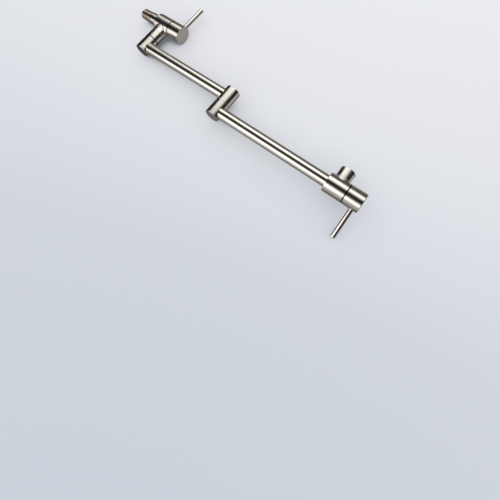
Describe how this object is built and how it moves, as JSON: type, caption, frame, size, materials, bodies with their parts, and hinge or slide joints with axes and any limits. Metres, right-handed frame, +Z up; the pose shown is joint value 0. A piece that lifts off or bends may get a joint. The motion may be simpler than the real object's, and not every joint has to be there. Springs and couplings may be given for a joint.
{
  "type": "wall mounted pot filler",
  "caption": "Wall mounted cold water tap on a double-jointed folding arm, with a quarter-turn lever valve at the wall and another at the spout, for filling pots on a hob.",
  "frame": {"origin": "centre of the wall end of the inlet nipple's thread", "axes": "+X out of the wall along the nipple and the straightened arms, +Z up"},
  "size_m": [0.5893, 0.0555, 0.2346],
  "materials": {
    "satin_nickel": "fine satin brushing over nickel plate",
    "polished_nickel": "smooth, brighter than the bodies",
    "stainless": "plain",
    "brass": "machined",
    "ceramic": "lapped alumina, white",
    "bearing_plastic": "natural acetal",
    "rubber": "matt black"
  },
  "bodies": {
    "wall_valve": {"inlet_nipple": "satin_nickel", "wall_valve_body": "satin_nickel", "wall_seat_seal": "rubber", "wall_fixed_disc": "ceramic", "wall_cartridge_sleeve": "brass", "wall_cartridge_ring": "rubber", "wall_gland_nut": "brass", "branch_collar": "satin_nickel", "shoulder_spindle": "brass", "shoulder_rings": "rubber", "shoulder_wear_washer": "bearing_plastic"},
    "wall_handle": {"wall_moving_disc": "ceramic", "wall_stem": "brass", "wall_stem_ring": "rubber", "wall_stem_clip": "stainless", "wall_handle_hub": "satin_nickel", "wall_lever": "polished_nickel", "wall_grub_screw": "stainless"},
    "lower_arm": {"shoulder_head": "satin_nickel", "shoulder_thrust_washer": "bearing_plastic", "shoulder_cap": "satin_nickel", "lower_arm_tube": "satin_nickel", "elbow_lower_head": "satin_nickel", "elbow_plug": "satin_nickel", "elbow_plug_ring": "rubber", "elbow_thrust_washer": "bearing_plastic", "elbow_wear_washer": "bearing_plastic"},
    "upper_arm": {"elbow_upper_head": "satin_nickel", "elbow_cap": "satin_nickel", "elbow_spindle": "brass", "elbow_rings": "rubber", "upper_arm_tube": "satin_nickel", "spout_valve_body": "satin_nickel", "spout_seat_seal": "rubber", "spout_fixed_disc": "ceramic", "spout_cartridge_sleeve": "brass", "spout_cartridge_ring": "rubber", "spout_gland_nut": "brass", "aerator_gasket": "rubber", "aerator_housing": "satin_nickel", "aerator_straightener": "bearing_plastic", "aerator_screen": "stainless"},
    "spout_handle": {"spout_moving_disc": "ceramic", "spout_stem": "brass", "spout_stem_ring": "rubber", "spout_stem_clip": "stainless", "spout_handle_hub": "satin_nickel", "spout_lever": "polished_nickel", "spout_grub_screw": "stainless"}
  },
  "joints": [
    {"name": "wall_handle_turn", "type": "hinge", "parent": "wall_valve", "child": "wall_handle", "pos_m": [0.10135, 0, 0], "axis": [1, 0, 0], "range_deg": [0, 90]},
    {"name": "shoulder_swing", "type": "hinge", "parent": "wall_valve", "child": "lower_arm", "pos_m": [0.0636, 0, 0.0438], "axis": [0, 0, 1], "range_deg": [-90, 90]},
    {"name": "elbow_swing", "type": "hinge", "parent": "lower_arm", "child": "upper_arm", "pos_m": [0.2839, 0, 0.0791], "axis": [0, 0, 1], "range_deg": [-175, 175]},
    {"name": "spout_handle_turn", "type": "hinge", "parent": "upper_arm", "child": "spout_handle", "pos_m": [0.57955, 0, 0.0978], "axis": [1, 0, 0], "range_deg": [-29, 61]}
  ]
}
